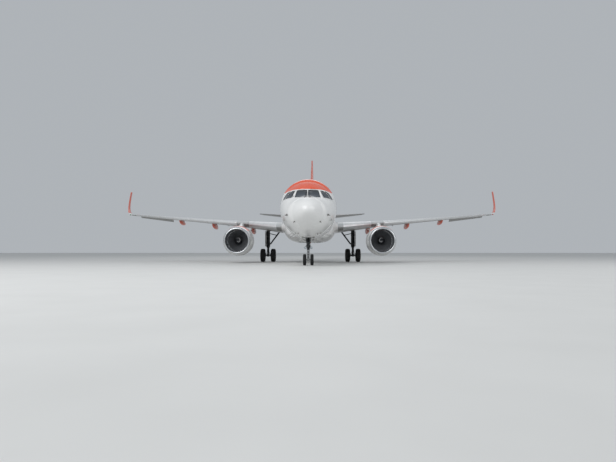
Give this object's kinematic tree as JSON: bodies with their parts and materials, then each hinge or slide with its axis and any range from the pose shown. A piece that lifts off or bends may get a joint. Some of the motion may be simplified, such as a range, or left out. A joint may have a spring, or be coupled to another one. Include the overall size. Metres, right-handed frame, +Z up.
{
  "type": "jet airliner",
  "caption": "Single-aisle passenger jet on its wheels, with underwing fan engines, upswept winglets, movable control surfaces and steerable nose gear.",
  "frame": {"origin": "on the ground, under the middle of the overall box", "axes": "-Y points to the nose, +X to the aircraft's left wing tip, +Z up"},
  "size_m": [35.8306, 37.566, 11.76],
  "materials": {
    "white_paint": "gloss",
    "orange_red_paint": "gloss",
    "grey_paint": "satin",
    "bare_aluminium": "satin",
    "window_glass": "gloss",
    "engine_metal": "satin",
    "fan_metal": "satin",
    "gear_paint_dark": "satin",
    "gear_paint_light": "satin",
    "lamp_metal": "satin",
    "wheel_aluminium": "satin",
    "tyre_rubber": "matte"
  },
  "bodies": {
    "airframe": {"radome": "white_paint", "cockpit_section": "white_paint", "cockpit_glass": "window_glass", "front_fuselage": "white_paint", "fuselage_barrel": "white_paint", "rear_fuselage": "white_paint", "tail_cone": "grey_paint", "belly_fairing": "white_paint", "wing_l": "grey_paint", "wing_r": "grey_paint", "winglet_l": "orange_red_paint", "winglet_r": "orange_red_paint", "slats": "bare_aluminium", "flaps": "grey_paint", "flap_fairings": "orange_red_paint", "fin": "orange_red_paint", "tailplane": "grey_paint", "pylon_l": "white_paint", "pylon_r": "white_paint", "nacelle_l": "white_paint", "nacelle_r": "white_paint", "engine_core_l": "engine_metal", "engine_core_r": "engine_metal", "nose_leg": "gear_paint_dark", "taxi_lamps": "lamp_metal", "nose_doors": "white_paint", "main_leg_l": "gear_paint_dark", "main_leg_r": "gear_paint_dark", "main_stays": "gear_paint_dark", "main_leg_doors": "white_paint", "jack_pads": "gear_paint_light", "antennas": "white_paint"},
    "nose_steering": {"nose_fork": "gear_paint_light", "tow_fitting": "gear_paint_light"},
    "nose_wheels": {"nose_rims": "wheel_aluminium", "nose_tyres": "tyre_rubber"},
    "main_wheels_l": {"main_rims_l": "wheel_aluminium", "main_tyres_l": "tyre_rubber"},
    "main_wheels_r": {"main_rims_r": "wheel_aluminium", "main_tyres_r": "tyre_rubber"},
    "fan_rotor_l": {"fan_l": "fan_metal"},
    "fan_rotor_r": {"fan_r": "fan_metal"},
    "left_aileron": {"aileron_l": "grey_paint"},
    "right_aileron": {"aileron_r": "grey_paint"},
    "left_elevator": {"elevator_l": "grey_paint"},
    "right_elevator": {"elevator_r": "grey_paint"},
    "rudder_panel": {"rudder": "orange_red_paint"}
  },
  "joints": [
    {"name": "nose_steer", "type": "hinge", "parent": "airframe", "child": "nose_steering", "pos_m": [0, -13.715, 1.06], "axis": [0, 0, 1], "range_deg": [-75, 75]},
    {"name": "nose_roll", "type": "hinge", "parent": "nose_steering", "child": "nose_wheels", "pos_m": [0, -13.715, 0.381], "axis": [1, 0, 0], "continuous": true},
    {"name": "main_roll_l", "type": "hinge", "parent": "airframe", "child": "main_wheels_l", "pos_m": [3.795, -1.075, 0.584], "axis": [1, 0, 0], "continuous": true},
    {"name": "main_roll_r", "type": "hinge", "parent": "airframe", "child": "main_wheels_r", "pos_m": [-3.795, -1.075, 0.584], "axis": [1, 0, 0], "continuous": true},
    {"name": "fan_spin_l", "type": "hinge", "parent": "airframe", "child": "fan_rotor_l", "pos_m": [5.75, -6.435, 1.79], "axis": [0, 1, 0], "continuous": true},
    {"name": "fan_spin_r", "type": "hinge", "parent": "airframe", "child": "fan_rotor_r", "pos_m": [-5.75, -6.435, 1.79], "axis": [0, 1, 0], "continuous": true},
    {"name": "aileron_hinge_l", "type": "hinge", "parent": "airframe", "child": "left_aileron", "pos_m": [13.02, 1.38079, 4.00236], "axis": [0.9387, 0.3307, 0.0974], "range_deg": [0, 47]},
    {"name": "aileron_hinge_r", "type": "hinge", "parent": "airframe", "child": "right_aileron", "pos_m": [-13.02, 1.38079, 4.00236], "axis": [0.9387, -0.3307, -0.0974], "range_deg": [0, 47]},
    {"name": "elevator_hinge_l", "type": "hinge", "parent": "airframe", "child": "left_elevator", "pos_m": [1.45, 15.4163, 4.8924], "axis": [0.9582, 0.2678, 0.1007], "range_deg": [-8, 39]},
    {"name": "elevator_hinge_r", "type": "hinge", "parent": "airframe", "child": "right_elevator", "pos_m": [-1.45, 15.4163, 4.8924], "axis": [0.9582, -0.2678, -0.1007], "range_deg": [-8, 39]},
    {"name": "rudder_hinge", "type": "hinge", "parent": "airframe", "child": "rudder_panel", "pos_m": [0, 15.0914, 6.093], "axis": [0, 0.3627, 0.9319], "range_deg": [-25, 25]}
  ]
}
